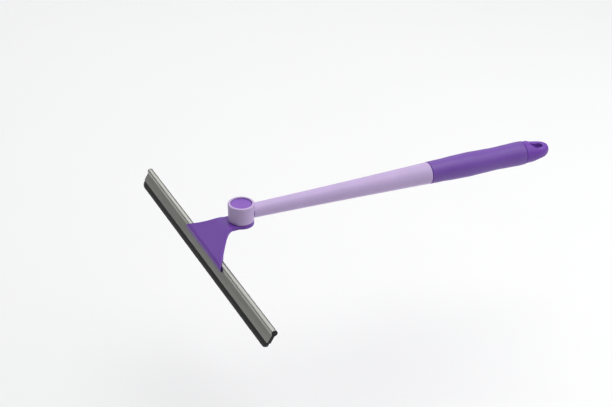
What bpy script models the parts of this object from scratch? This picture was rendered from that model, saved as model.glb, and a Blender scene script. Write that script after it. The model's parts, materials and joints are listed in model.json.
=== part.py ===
"""Swivel-head window squeegee, modelled piece by piece.

The frame: +Z is the swivel axis, +X runs along the handle and Y along the blade. The origin is on
the swivel axis, on the flat underside of the head bracket's round end.
"""
from math import asin, cos, pi, radians, sin, sqrt

import bmesh
import bpy
from mathutils import Vector

GAP = 0.0003              # clearance between touching pieces
SKIN = 0.001              # how far a cutter reaches past the surface it opens

# Head bracket
PLATE_THICKNESS = 0.0034  # round end under the hub
PLATE_RADIUS = 0.0120
NECK_HALF_WIDTH = 0.0107
FLARE_START = 0.0130      # distance from the axis where the fan begins to widen
FLARE_GAIN = 0.275        # widening in mm for each mm from the start, raised to the power below
FLARE_POWER = 1.45
FAN_HALF_WIDTH = 0.0404   # limit of the half width where the fan meets the blade
SKIRT_SPREAD = 0.0026     # the fan's sides slope outwards by this much near the blade
SKIRT_DROP = 0.0022       # height over which they do
SKIRT_START = 0.0180      # distance from the axis where they begin to slope
SKIRT_FULL = 0.0290       # and where the slope is complete
FAN_SLOPE = -0.86         # fall of the fan's top for each unit forward
FAN_PASSES = Vector((0.034, -0.01112))  # a point (distance forward, height) on the sloping top
SHEET_DROP = 0.0030       # the sloping sheet's thickness, measured straight down
FRONT_REACH = 0.0376      # front wall of the jaw
FRONT_EDGE = -0.0156      # height where the wall's rounded top edge ends
FRONT_ROUNDING = 0.0022   # how far back from the front wall that rounding starts
JAW_LIP = ((0.03755, -0.0193), (0.03675, -0.0201), (0.0351, -0.0196))  # foot of the front wall
REAR_WALL_FOOT = -0.0146  # height where the jaw's rear wall ends
BEND_BEFORE = 0.0030      # the bend from plate to slope starts this far before the corner
BEND_AFTER = 0.0060       # and ends this far after it
BLOCK_HALF_WIDTH = 0.0135
BLOCK_REAR = 0.0210
BLOCK_FRONT = 0.0300
BLOCK_BOTTOM = -0.0114
BLOCK_NOSE = 0.0322       # the block reaches this far over the jaw, where it is higher up
BLOCK_STEP = (-0.0118, -0.0133)  # heights of the slant from the block's front to its nose
SCREW_HOLE_SPARE = 0.0005  # how much deeper the screw holes are than the screws
POST_RADIUS = 0.0036
POST_SHOULDER = 0.0070
HEX_RADIUS = 0.0029
HEX_TOP = 0.0124

# Channel and rubber, drawn in a section whose origin is the front sheet's lower edge
BLADE_LENGTH = 0.300
LIP_EDGE = Vector((0.0398, -0.0255))  # (distance forward, height) of that edge
FACE_TILT = radians(60.75)
CHANNEL_DEPTH = 0.0026    # across the two sheets below the bead
SHEET_METAL = 0.0006
BEAD_UP = 0.0110          # bead centre above the lower edge
BEAD_RADIUS = 0.00275
CORNER_RADIUS = 0.0020
RUBBER_CORNER = 0.0054
RUBBER_REACH = 0.0056     # rubber below the channel's edge
RUBBER_WEB = 0.0008
RUBBER_INSET = 0.0002     # the rubber ends this far inside the channel
# Half thickness of the wiping strip at distances below the channel's edge
RUBBER_STRIP = ((GAP, 0.0012), (0.0024, 0.0011), (0.0027, 0.0013), (0.0031, 0.0010),
                (RUBBER_REACH, 0.0007))
PLUG_LENGTH = 0.0085
PIN_UP = 0.0068           # channel pin above the lower edge
PIN_RADIUS = 0.0007
PIN_INNER = -0.0046

# Handle
HUB_BOTTOM = 0.0037
HUB_TOP = 0.0202
HUB_BOTTOM_RADIUS = 0.01175
HUB_TOP_RADIUS = 0.0124
HUB_EDGE = 0.0011
HUB_BORE = 0.0100
FLOOR_BOTTOM = 0.0047
FLOOR_TOP = 0.0062
FLOOR_WASHER = 0.0005     # thickness of the washer on the hub's floor
WASHER_RECESS = 0.0105
ARM_AXIS_Z = 0.0106
ARM_START = 0.0108
ARM_RADIUS = 0.0067       # radius extrapolated to the swivel axis
ARM_TAPER = 0.012
ARM_FLARE = 0.04          # extra growth for each square metre of distance
SLEEVE_START = 0.1945
SLEEVE_END = 0.300
# Radius of the sleeve at shares of its length
SLEEVE_SWELL = ((0.0, 0.01080), (0.12, 0.01095), (0.28, 0.01160), (0.42, 0.01190),
                (0.56, 0.01150), (0.70, 0.01115), (0.84, 0.01150), (0.95, 0.01185),
                (1.0, 0.01170))
CORE_RADIUS = 0.0081
CAP_END = 0.330
BORE_START = 0.045
BORE_SMALL = 0.0035
BORE_LARGE = 0.0056
SPIGOT_RADIUS = 0.0053
SPIGOT_LENGTH = 0.020
# Half width and half height of the tail at distances behind the sleeve
TAIL = ((0.0, 0.01160, 0.01160), (0.0080, 0.01130, 0.01120), (0.0140, 0.01080, 0.00900),
        (0.0200, 0.01020, 0.00720), (0.0245, 0.00880, 0.00620), (0.0280, 0.00600, 0.00480),
        (0.0297, 0.00250, 0.00250))
TAIL_FLATS = (0.0030, 0.0110)  # the two flats grow between these distances
TAIL_HALF_HEIGHT = 0.0046
EYE_CENTRE_X = 0.3165
EYE_HALF_LENGTH = 0.0030
EYE_RADIUS = 0.0042

# Button and brake, heights at rest
BUTTON_RADIUS = 0.0097
BUTTON_TOP = 0.0201
BUTTON_UNDER = 0.0174
BUTTON_DISH = 0.0004
SKIRT_INSIDE = 0.0085
RING_BOTTOM = 0.0109
RING_TOP = 0.0122
RING_INSIDE = 0.0053
RING_OUTSIDE = 0.0094
PAD_TOP = 0.0131
PAD_OUTSIDE = 0.0082
CROWN_BOTTOM = 0.0134
CROWN_TOP = 0.0146
CROWN_RADIUS = 0.0082
CROWN_BOSS = 0.0050
PEG_CIRCLE = 0.0074
PEG_RADIUS = 0.0008
PEG_TOP = 0.0120
SPRING_RADIUS = 0.0059
SPRING_WIRE = 0.0003
SPRING_TURNS = 3

# Screws
PIVOT_HOLE = 0.00145
PIVOT_SHANK = 0.00115
PIVOT_HEAD = 0.0026
CLAMP_X = -0.0240
CLAMP_Y = 0.0085
CLAMP_HOLE = 0.0014
CLAMP_SHANK = 0.0011
CLAMP_HEAD = 0.0027
CLAMP_TIP = -0.0069       # upper end of the clamp screws
CLAMP_POINT = 0.0007      # length of their pointed end
CLAMP_PLATE_BOTTOM = -0.0148
CLAMP_REAR_HALF = 0.0115  # half width of the clamp plate at its rear edge
CLAMP_FRONT_HALF = 0.0350
CLAMP_WIDEST = 0.0330     # distance forward where it is widest
CLAMP_CORNER = (0.0300, -0.0149)  # (distance forward, height) under the jaw's rear wall
# Nose behind the channel, (down the face, behind the rear sheet), and the heel below the plate
CLAMP_NOSE = ((-0.0032, 0.0), (-0.0032, 0.0017), (-0.0076, 0.0026))
CLAMP_HEEL = ((0.0286, -0.0178), (0.0276, CLAMP_PLATE_BOTTOM))

PALETTE = {
    "lilac_plastic": ((0.56, 0.43, 0.72), 0.38, 0.0),
    "purple_plastic": ((0.19, 0.08, 0.42), 0.40, 0.0),
    "purple_soft": ((0.20, 0.08, 0.45), 0.55, 0.0),
    "channel_metal": ((0.60, 0.60, 0.57), 0.32, 1.0),
    "black_rubber": ((0.015, 0.015, 0.015), 0.60, 0.0),
    "black_plastic": ((0.02, 0.02, 0.02), 0.45, 0.0),
    "white_nylon": ((0.80, 0.80, 0.76), 0.45, 0.0),
    "screw_steel": ((0.62, 0.62, 0.62), 0.28, 1.0),
    "spring_steel": ((0.50, 0.50, 0.50), 0.30, 1.0),
}


def clear_scene():
    """Remove every object of the scene that the script starts in."""
    for obj in list(bpy.data.objects):
        bpy.data.objects.remove(obj, do_unlink=True)


def material(name):
    """Return the Principled material of a palette entry, made once."""
    found = bpy.data.materials.get(name)
    if found:
        return found
    colour, roughness, metallic = PALETTE[name]
    made = bpy.data.materials.new(name)
    made.use_nodes = True
    shader = made.node_tree.nodes["Principled BSDF"]
    shader.inputs["Base Color"].default_value = (*colour, 1.0)
    shader.inputs["Roughness"].default_value = roughness
    shader.inputs["Metallic"].default_value = metallic
    return made


def new_object(name, shape, finish=None, parent=None, location=(0, 0, 0)):
    """Turn a bmesh into a linked object with smooth round faces."""
    bmesh.ops.recalc_face_normals(shape, faces=shape.faces)
    mesh = bpy.data.meshes.new(name)
    shape.to_mesh(mesh)
    shape.free()
    mesh.shade_smooth()
    mesh.set_sharp_from_angle(angle=radians(35))
    obj = bpy.data.objects.new(name, mesh)
    bpy.context.scene.collection.objects.link(obj)
    obj.location = location
    obj.parent = parent
    if finish:
        mesh.materials.append(material(finish))
    return obj


def empty(name, location=(0, 0, 0), parent=None):
    """An axis marker that the pieces of one moving body hang from."""
    obj = bpy.data.objects.new(name, None)
    bpy.context.scene.collection.objects.link(obj)
    obj.location = location
    obj.parent = parent
    return obj


def turned(profile, segments):
    """Turn a closed (radius, height) outline about Z. Points of radius 0 become poles."""
    shape = bmesh.new()
    rings = []
    for radius, height in profile:
        if radius == 0:
            rings.append([shape.verts.new((0, 0, height))])
            continue
        ring = []
        for step in range(segments):
            angle = 2 * pi * step / segments
            ring.append(shape.verts.new((radius * cos(angle), radius * sin(angle), height)))
        rings.append(ring)
    joined = list(zip(rings, rings[1:]))
    if len(rings[0]) > 1:
        joined.append((rings[-1], rings[0]))
    for first, second in joined:
        bridge(shape, first, second)
    return shape


def bridge(shape, first, second):
    """Join two closed rings, or a ring and a pole, with faces."""
    count = max(len(first), len(second))
    for step in range(count):
        after = (step + 1) % count
        if len(first) == 1:
            corners = (first[0], second[step], second[after])
        elif len(second) == 1:
            corners = (first[step], first[after], second[0])
        else:
            corners = (first[step], first[after], second[after], second[step])
        shape.faces.new(corners)


def lofted(sections, closed=False):
    """Skin a row of rings of equal point count. An open row gets end faces."""
    shape = bmesh.new()
    rings = [[shape.verts.new(point) for point in section] for section in sections]
    for first, second in zip(rings, rings[1:]):
        bridge(shape, first, second)
    if closed:
        bridge(shape, rings[-1], rings[0])
    else:
        shape.faces.new(rings[0])
        shape.faces.new(rings[-1])
    return shape


def prism(outline, direction, start, end):
    """Extrude an outline. Along "y" its points are (forward, height), along "z" they are (x, y)."""
    shape = bmesh.new()
    if direction == "y":
        verts = [shape.verts.new((-forward, start, height)) for forward, height in outline]
        travel = Vector((0, end - start, 0))
    else:
        verts = [shape.verts.new((x, y, start)) for x, y in outline]
        travel = Vector((0, 0, end - start))
    face = shape.faces.new(verts)
    grown = bmesh.ops.extrude_face_region(shape, geom=[face])["geom"]
    moved = [item for item in grown if isinstance(item, bmesh.types.BMVert)]
    bmesh.ops.translate(shape, verts=moved, vec=travel)
    return shape


def rod(radius, start, end, segments=24, centre=(0, 0), along="z"):
    """A plain cylinder between two positions on the axis that it runs along."""
    shape = turned([(0, end), (radius, end), (radius, start), (0, start)], segments)
    for vert in shape.verts:
        x, y, z = vert.co
        if along == "x":
            vert.co = (z, x + centre[0], y + centre[1])
        elif along == "y":
            vert.co = (x + centre[0], z, y + centre[1])
        else:
            vert.co = (x + centre[0], y + centre[1], z)
    return shape


def arc(centre, radius, start, end, steps):
    """Points of an arc, both ends included; the angles are in radians."""
    angles = [start + (end - start) * step / steps for step in range(steps + 1)]
    return [(centre[0] + radius * cos(a), centre[1] + radius * sin(a)) for a in angles]


def curve_through(start, pull, end, steps):
    """Points of a curve that leaves and arrives along the lines through the pull point."""
    points = []
    for step in range(steps + 1):
        t = step / steps
        points.append(tuple((1 - t) ** 2 * a + 2 * t * (1 - t) * b + t * t * c
                            for a, b, c in zip(start, pull, end)))
    return points


def combine(target, operation, shape, name):
    """Add a live Boolean with a hidden wire guide to the target."""
    guide = new_object(target.name + "_" + name, shape)
    guide.hide_render = True
    guide.display_type = "WIRE"
    modifier = target.modifiers.new(name, "BOOLEAN")
    modifier.operation = operation
    modifier.solver = "EXACT"
    modifier.object = guide
    return guide


def section_point(down, out):
    """Map the channel's section (down the face, out of the face) to (forward, height)."""
    forward = LIP_EDGE.x + down * cos(FACE_TILT) + out * sin(FACE_TILT)
    height = LIP_EDGE.y - down * sin(FACE_TILT) + out * cos(FACE_TILT)
    return forward, height


def bead_arc(radius, half_depth, steps):
    """Section points round the bead, from the front sheet over the top to the rear sheet."""
    opening = asin(half_depth / radius)
    centre = (-BEAD_UP, -CHANNEL_DEPTH / 2)
    return arc(centre, radius, opening, 2 * pi - opening, steps)


def channel_outline():
    """The folded sheet: down the outside round the bead and back up the inside."""
    outside = [(0, 0)] + bead_arc(BEAD_RADIUS, CHANNEL_DEPTH / 2, 20) + [(0, -CHANNEL_DEPTH)]
    inner_half = CHANNEL_DEPTH / 2 - SHEET_METAL
    inside = [(0, -SHEET_METAL)] + bead_arc(BEAD_RADIUS - SHEET_METAL, inner_half, 16)
    inside.append((0, SHEET_METAL - CHANNEL_DEPTH))
    return [section_point(*point) for point in outside + inside[::-1]]


def channel_clearance():
    """The room that the channel needs inside the bracket's jaw."""
    half = CHANNEL_DEPTH / 2 + GAP
    points = [(SKIN, GAP)] + bead_arc(BEAD_RADIUS + GAP, half, 16) + [(SKIN, -CHANNEL_DEPTH - GAP)]
    return [section_point(*point) for point in points]


def rubber_outline():
    """The bead, the thin web between the sheets, and the wiping strip with its middle ridge."""
    middle = -CHANNEL_DEPTH / 2
    half = RUBBER_WEB / 2
    bead = bead_arc(BEAD_RADIUS - SHEET_METAL - GAP, half, 16)
    front = [(GAP, middle + half)]
    front += [(down, middle + thickness) for down, thickness in RUBBER_STRIP]
    rear = [(down, 2 * middle - out) for down, out in front[::-1]]
    return [section_point(*point) for point in bead[::-1] + front + rear]


def rounded_strip(low, high, length, radius, steps=4):
    """An outline in (along the blade, down the face) whose four corners are round."""
    half = length / 2
    corners = [((half - radius, high - radius), 0), ((-half + radius, high - radius), pi / 2),
               ((-half + radius, low + radius), pi), ((half - radius, low + radius), 1.5 * pi)]
    points = []
    for centre, start in corners:
        points += arc(centre, radius, start, start + pi / 2, steps)
    return points


def face_prism(outline):
    """Extrude an outline drawn on the channel's face right through the channel."""
    reach = 0.010
    rings = []
    for out in (-reach, reach):
        ring = []
        for along, down in outline:
            forward, height = section_point(down, out)
            ring.append((-forward, along, height))
        rings.append(ring)
    return lofted(rings)


def flare(forward):
    """Half width of the bracket at a distance in front of the axis."""
    if forward <= FLARE_START:
        return NECK_HALF_WIDTH
    grown = FLARE_GAIN * ((forward - FLARE_START) * 1000) ** FLARE_POWER / 1000
    return min(NECK_HALF_WIDTH + grown, FAN_HALF_WIDTH)


def slope_height(forward):
    """Height of the fan's sloping top."""
    return FAN_PASSES.y + FAN_SLOPE * (forward - FAN_PASSES.x)


def fan_cutter():
    """Solid that trims the fan in plan: round end, neck and flare, with sloping sides."""
    meets = pi - asin(NECK_HALF_WIDTH / PLATE_RADIUS)
    first = radians(3)
    halves = []
    for step in range(25):
        angle = first + (meets - first) * step / 24
        halves.append((-PLATE_RADIUS * cos(angle), PLATE_RADIUS * sin(angle)))
    for step in range(34):
        forward = FLARE_START + (FRONT_REACH + SKIN - FLARE_START) * step / 33
        halves.append((forward, flare(forward)))
    rings = []
    for forward, half in halves:
        share = min(max((forward - SKIRT_START) / (SKIRT_FULL - SKIRT_START), 0), 1)
        spread = SKIRT_SPREAD * share
        top = min(PLATE_THICKNESS, slope_height(forward))
        side = [(half - 0.2 * spread, 0.010), (half - 0.2 * spread, top + 0.2 * SKIRT_DROP),
                (half + spread, top - SKIRT_DROP), (half + spread, -0.030)]
        ring = side + [(-y, z) for y, z in side[::-1]]
        rings.append([(-forward, y, z) for y, z in ring])
    return lofted(rings)


def bracket_side():
    """Side outline of the bracket: plate, sloping sheet and the jaw over the channel's bead."""
    rear = -PLATE_RADIUS - SKIN
    bend = FAN_PASSES.x + (PLATE_THICKNESS - FAN_PASSES.y) / FAN_SLOPE
    before, after = bend - BEND_BEFORE, bend + BEND_AFTER
    under_bend = bend - 0.3 * SHEET_DROP
    top = [(rear, PLATE_THICKNESS)]
    top += curve_through((before, PLATE_THICKNESS), (bend, PLATE_THICKNESS),
                         (after, slope_height(after)), 10)
    round_start = FRONT_REACH - FRONT_ROUNDING
    top += curve_through((round_start, slope_height(round_start)),
                         (FRONT_REACH, slope_height(FRONT_REACH)), (FRONT_REACH, FRONT_EDGE), 6)
    rear_wall = BLOCK_FRONT + GAP
    inside = [section_point(-BEAD_UP, -CHANNEL_DEPTH / 2), (rear_wall, REAR_WALL_FOOT)]
    under = [(rear_wall, slope_height(rear_wall) - SHEET_DROP)]
    under_after = under_bend + BEND_AFTER
    under += curve_through((under_after, slope_height(under_after) - SHEET_DROP),
                           (under_bend, 0.0), (under_bend - BEND_BEFORE, 0.0), 10)
    under.append((rear, 0.0))
    return top + list(JAW_LIP) + inside + under


def hexagon(radius):
    """Corners of a hexagon round the swivel axis."""
    return [(radius * cos(pi * step / 3), radius * sin(pi * step / 3)) for step in range(6)]


def head_bracket(parent):
    """Moulded bracket: fan, jaw and the post that the handle swivels on."""
    span = FAN_HALF_WIDTH + SKIRT_SPREAD + SKIN
    obj = new_object("head_bracket", prism(bracket_side(), "y", -span, span), "purple_plastic",
                     parent)
    combine(obj, "INTERSECT", fan_cutter(), "plan")
    block = [(BLOCK_REAR, BLOCK_BOTTOM), (BLOCK_REAR, slope_height(BLOCK_REAR) - SKIN),
             (BLOCK_NOSE, slope_height(BLOCK_NOSE) - SKIN), (BLOCK_NOSE, BLOCK_STEP[1]),
             (BLOCK_FRONT, BLOCK_STEP[0]), (BLOCK_FRONT, BLOCK_BOTTOM)]
    combine(obj, "UNION", prism(block, "y", -BLOCK_HALF_WIDTH, BLOCK_HALF_WIDTH), "block")
    combine(obj, "UNION", rod(POST_RADIUS, SKIN, POST_SHOULDER, 32), "post")
    combine(obj, "UNION", prism(hexagon(HEX_RADIUS), "z", PLATE_THICKNESS, HEX_TOP), "hex")
    combine(obj, "DIFFERENCE", rod(PIVOT_HOLE, 0.0045, HEX_TOP + SKIN, 16), "pilot")
    combine(obj, "DIFFERENCE", prism(channel_clearance(), "y", -span, span), "channel")
    for side in (-1, 1):
        hole = rod(CLAMP_HOLE, BLOCK_BOTTOM - SKIN, CLAMP_TIP + SCREW_HOLE_SPARE, 12,
                   (CLAMP_X, side * CLAMP_Y))
        combine(obj, "DIFFERENCE", hole, "screw_hole")
    return obj


def clamp_plate(parent):
    """Rear jaw: a flaring plate under the bracket with a nose behind the channel."""
    top = BLOCK_BOTTOM - GAP
    clear = BEAD_RADIUS + GAP
    behind = -CHANNEL_DEPTH - GAP
    opening = asin((CHANNEL_DEPTH / 2 + GAP) / clear)
    round_bead = arc((-BEAD_UP, -CHANNEL_DEPTH / 2), clear, radians(214), 2 * pi - opening, 10)
    rear = BLOCK_REAR + GAP
    outline = [(rear, top), (BLOCK_FRONT - GAP, top), CLAMP_CORNER]
    outline += [section_point(*point) for point in round_bead]
    outline += [section_point(down, behind - depth) for down, depth in CLAMP_NOSE]
    outline += [*CLAMP_HEEL, (rear, CLAMP_PLATE_BOTTOM)]
    span = CLAMP_FRONT_HALF
    obj = new_object("clamp_plate", prism(outline, "y", -span, span), "purple_plastic", parent)
    plan = [(SKIN - rear, CLAMP_REAR_HALF), (-rear, CLAMP_REAR_HALF), (-CLAMP_WIDEST, span + SKIN),
            (-FRONT_REACH, span + SKIN)]
    plan += [(x, -y) for x, y in plan[::-1]]
    combine(obj, "INTERSECT", prism(plan, "z", -0.030, -0.005), "plan")
    for side in (-1, 1):
        hole = rod(CLAMP_HOLE, CLAMP_PLATE_BOTTOM - SKIN, top + SKIN, 12,
                   (CLAMP_X, side * CLAMP_Y))
        combine(obj, "DIFFERENCE", hole, "screw_hole")
    combine(obj, "DIFFERENCE", pin_rod(PIN_RADIUS + GAP, PIN_INNER - GAP, 0), "pin_hole")
    return obj


def clamp_screw(name, side, parent):
    """Pan-head screw that stands head down under the clamp plate."""
    seat = CLAMP_PLATE_BOTTOM - GAP
    profile = [(0, CLAMP_TIP), (CLAMP_SHANK / 2, CLAMP_TIP),
               (CLAMP_SHANK, CLAMP_TIP - CLAMP_POINT), (CLAMP_SHANK, seat),
               (CLAMP_HEAD, seat), (CLAMP_HEAD, seat - 0.0009), (0.0021, seat - 0.0016),
               (0, seat - 0.0018)]
    obj = new_object(name, turned(profile, 20), "screw_steel", parent,
                     (CLAMP_X, side * CLAMP_Y, 0))
    for turn in (0, pi / 2):
        combine_slot(obj, seat - 0.0022, seat - 0.0009, turn)
    return obj


def combine_slot(obj, low, high, turn):
    """Cut one arm of a cross recess into a screw's head."""
    half_long, half_wide = 0.0014, 0.0003
    corners = [(half_long, half_wide), (-half_long, half_wide), (-half_long, -half_wide),
               (half_long, -half_wide)]
    outline = [(x * cos(turn) - y * sin(turn) + obj.location.x,
                x * sin(turn) + y * cos(turn) + obj.location.y) for x, y in corners]
    combine(obj, "DIFFERENCE", prism(outline, "z", low, high), "recess")


def squeegee_channel(parent):
    """Folded sheet-metal channel with a rolled bead and rounded corners."""
    half = BLADE_LENGTH / 2
    obj = new_object("squeegee_channel", prism(channel_outline(), "y", -half, half),
                     "channel_metal", parent)
    top = -BEAD_UP - BEAD_RADIUS
    trim = rounded_strip(top, 0.0, BLADE_LENGTH, CORNER_RADIUS)
    combine(obj, "INTERSECT", face_prism(trim), "corners")
    combine(obj, "DIFFERENCE", pin_rod(PIN_RADIUS + GAP, -0.004, SKIN), "pin_hole")
    return obj


def rubber_blade(parent):
    """Rubber strip whose bead sits in the channel and whose edge wipes the glass."""
    half = BLADE_LENGTH / 2 - RUBBER_INSET
    obj = new_object("rubber_blade", prism(rubber_outline(), "y", -half, half), "black_rubber",
                     parent)
    trim = rounded_strip(-BEAD_UP - 4 * BEAD_RADIUS, RUBBER_REACH, 2 * half, RUBBER_CORNER, 8)
    combine(obj, "INTERSECT", face_prism(trim), "corners")
    combine(obj, "DIFFERENCE", pin_rod(PIN_RADIUS + GAP, -0.004, SKIN), "pin_hole")
    forward, height = section_point(-BEAD_UP, -CHANNEL_DEPTH / 2)
    for side in (-1, 1):
        inner, outer = half - PLUG_LENGTH, half + SKIN
        seat = rod(0.0022, min(side * inner, side * outer), max(side * inner, side * outer), 20,
                   (-forward, height), "y")
        combine(obj, "DIFFERENCE", seat, "plug_seat")
    return obj


def pin_rod(radius, inner, outer):
    """A rod square to the channel's face, at the middle of the blade."""
    shape = rod(radius, inner, outer, 16)
    forward, height = section_point(-PIN_UP, 0)
    turn = Vector((0, 0, 1)).rotation_difference(Vector((-sin(FACE_TILT), 0, cos(FACE_TILT))))
    for vert in shape.verts:
        vert.co = turn @ vert.co + Vector((-forward, 0, height))
    return shape


def channel_pin(parent):
    """Steel pin through the channel that keeps it from sliding sideways in the jaws."""
    shape = pin_rod(PIN_RADIUS, PIN_INNER, -0.0002)
    return new_object("channel_pin", shape, "screw_steel", parent)


def end_plug(name, side, parent):
    """Round plug in the end of the channel's bead that keeps the rubber from sliding out."""
    forward, height = section_point(-BEAD_UP, -CHANNEL_DEPTH / 2)
    radius = BEAD_RADIUS - SHEET_METAL - GAP
    outer = BLADE_LENGTH / 2 - 0.0006
    inner = outer - PLUG_LENGTH + 0.0012
    profile = [(0, outer), (radius - 0.0003, outer), (radius, outer - 0.0003),
               (radius, inner + 0.0008), (radius - 0.0007, inner), (0, inner)]
    shape = turned([(r, side * z) for r, z in profile], 20)
    for vert in shape.verts:
        x, y, z = vert.co
        vert.co = (x, z, y)
    return new_object(name, shape, "black_plastic", parent, (-forward, 0, height))


def arm_radius(x):
    """Outer radius of the arm: it grows steadily away from the hub."""
    return ARM_RADIUS + ARM_TAPER * x + ARM_FLARE * x * x


def ring_x(x, half_width, half_height, count=36, centre_z=ARM_AXIS_Z):
    """A ring of points across the handle."""
    angles = [2 * pi * step / count for step in range(count)]
    return [(x, half_width * cos(a), centre_z + half_height * sin(a)) for a in angles]


def handle_arm():
    """Hub and arm moulded as one piece, with a core that carries the grip."""
    stations = [ARM_START + (SLEEVE_START - ARM_START) * step / 12 for step in range(13)]
    sections = [ring_x(x, arm_radius(x), arm_radius(x)) for x in stations]
    sections.append(ring_x(SLEEVE_START, CORE_RADIUS, CORE_RADIUS))
    sections.append(ring_x(SLEEVE_END - 0.0005, CORE_RADIUS, CORE_RADIUS))
    sections.append(ring_x(SLEEVE_END, CORE_RADIUS - 0.0005, CORE_RADIUS - 0.0005))
    obj = new_object("handle_arm", lofted(sections), "lilac_plastic")
    hub = [(0, HUB_TOP)]
    hub += [(HUB_TOP_RADIUS - HUB_EDGE + r, HUB_TOP - HUB_EDGE + z)
            for r, z in arc((0, 0), HUB_EDGE, pi / 2, 0, 4)]
    hub += [(HUB_BOTTOM_RADIUS, HUB_BOTTOM), (0, HUB_BOTTOM)]
    combine(obj, "UNION", turned(hub, 48), "hub")
    hollow = [(0, HUB_TOP + SKIN), (HUB_BORE, HUB_TOP + SKIN), (HUB_BORE, FLOOR_TOP),
              (POST_RADIUS + GAP, FLOOR_TOP), (POST_RADIUS + GAP, FLOOR_BOTTOM),
              (WASHER_RECESS, FLOOR_BOTTOM), (WASHER_RECESS, HUB_BOTTOM - SKIN),
              (0, HUB_BOTTOM - SKIN)]
    combine(obj, "DIFFERENCE", turned(hollow, 48), "hub_hollow")
    for step in range(3):
        combine(obj, "UNION", peg(step, PEG_RADIUS, FLOOR_TOP - 0.0005, PEG_TOP), "guide_peg")
    bore = turned([(0, BORE_START), (BORE_SMALL, BORE_START), (BORE_LARGE, SLEEVE_START),
                   (BORE_LARGE, SLEEVE_END + SKIN), (0, SLEEVE_END + SKIN)], 24)
    for vert in bore.verts:
        x, y, z = vert.co
        vert.co = (z, x, y + ARM_AXIS_Z)
    combine(obj, "DIFFERENCE", bore, "bore")
    return obj


def peg(step, radius, low, high):
    """One of the three guide pegs that stop the brake ring turning, or its clearance."""
    angle = pi / 3 + 2 * pi * step / 3
    return rod(radius, low, high, 12, (PEG_CIRCLE * cos(angle), PEG_CIRCLE * sin(angle)))


def grip_sleeve():
    """Soft sleeve over the core, swelling under the forefinger and at the rear."""
    start = SLEEVE_START + GAP
    end = SLEEVE_END
    outside = [ring_x(start + t * (end - start), r, r) for t, r in SLEEVE_SWELL]
    inner = CORE_RADIUS + GAP
    sections = outside + [ring_x(end, inner, inner), ring_x(start, inner, inner)]
    return new_object("grip_sleeve", lofted(sections, closed=True), "purple_soft")


def end_cap():
    """Rear cap: a spigot in the arm's bore and a flattened tail with the hanging eye."""
    start = SLEEVE_END + GAP
    sections = [ring_x(start - SPIGOT_LENGTH, SPIGOT_RADIUS - 0.0006, SPIGOT_RADIUS - 0.0006),
                ring_x(start - SPIGOT_LENGTH + 0.0006, SPIGOT_RADIUS, SPIGOT_RADIUS),
                ring_x(start, SPIGOT_RADIUS, SPIGOT_RADIUS)]
    sections += [ring_x(start + back, width, height) for back, width, height in TAIL]
    obj = new_object("end_cap", lofted(sections), "purple_plastic")
    wide = TAIL[0][1] + SKIN
    upper = [(SPIGOT_LENGTH + SKIN - start, wide), (-start - TAIL_FLATS[0], wide),
             (-start - TAIL_FLATS[1], TAIL_HALF_HEIGHT), (-CAP_END - SKIN, TAIL_HALF_HEIGHT)]
    slab = [(x, ARM_AXIS_Z + z) for x, z in upper] + [(x, ARM_AXIS_Z - z) for x, z in upper[::-1]]
    combine(obj, "INTERSECT", prism(slab, "y", -0.015, 0.015), "flats")
    left, right = EYE_CENTRE_X - EYE_HALF_LENGTH, EYE_CENTRE_X + EYE_HALF_LENGTH
    eye = arc((right, 0), EYE_RADIUS, -pi / 2, pi / 2, 10)
    eye += arc((left, 0), EYE_RADIUS, pi / 2, 1.5 * pi, 10)
    combine(obj, "DIFFERENCE", prism(eye, "z", ARM_AXIS_Z - 0.012, ARM_AXIS_Z + 0.012), "eye")
    return obj


def wear_washer(parent):
    """Plastic washer between the hub's floor and the bracket."""
    low = PLATE_THICKNESS + GAP
    high = FLOOR_BOTTOM - GAP
    profile = [(WASHER_RECESS - GAP, high), (WASHER_RECESS - GAP, low),
               (POST_RADIUS + GAP, low), (POST_RADIUS + GAP, high)]
    return new_object("wear_washer", turned(profile, 40), "white_nylon", parent)


def floor_washer(parent):
    """Thin washer on the hub's floor, under the crown's boss."""
    low = FLOOR_TOP + GAP
    high = low + FLOOR_WASHER
    profile = [(CROWN_BOSS, high), (CROWN_BOSS, low), (POST_RADIUS + GAP, low),
               (POST_RADIUS + GAP, high)]
    return new_object("floor_washer", turned(profile, 32), "white_nylon", parent)


def pivot_crown(parent):
    """Disc with a hexagon socket that turns with the post and holds the hub down."""
    low = POST_SHOULDER + GAP
    sink = PIVOT_HEAD + GAP
    profile = [(sink, CROWN_TOP), (CROWN_RADIUS, CROWN_TOP), (CROWN_RADIUS, CROWN_BOTTOM),
               (CROWN_BOSS, CROWN_BOTTOM), (CROWN_BOSS, low), (PIVOT_HOLE, low),
               (PIVOT_HOLE, CROWN_TOP - 0.0013)]
    obj = new_object("pivot_crown", turned(profile, 36), "black_plastic", parent)
    socket = prism(hexagon(HEX_RADIUS + 2 * GAP / sqrt(3)), "z", low - SKIN, HEX_TOP + GAP)
    combine(obj, "DIFFERENCE", socket, "socket")
    return obj


def pivot_screw(parent):
    """Countersunk screw from the crown into the post."""
    top = CROWN_TOP - 0.0001
    profile = [(0, top), (PIVOT_HEAD, top), (PIVOT_SHANK, top - 0.0013), (PIVOT_SHANK, 0.0060),
               (0.0005, 0.0050), (0, 0.0050)]
    obj = new_object("pivot_screw", turned(profile, 20), "screw_steel", parent)
    for turn in (0, pi / 2):
        combine_slot(obj, top - 0.0007, top + SKIN, turn)
    return obj


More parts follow.
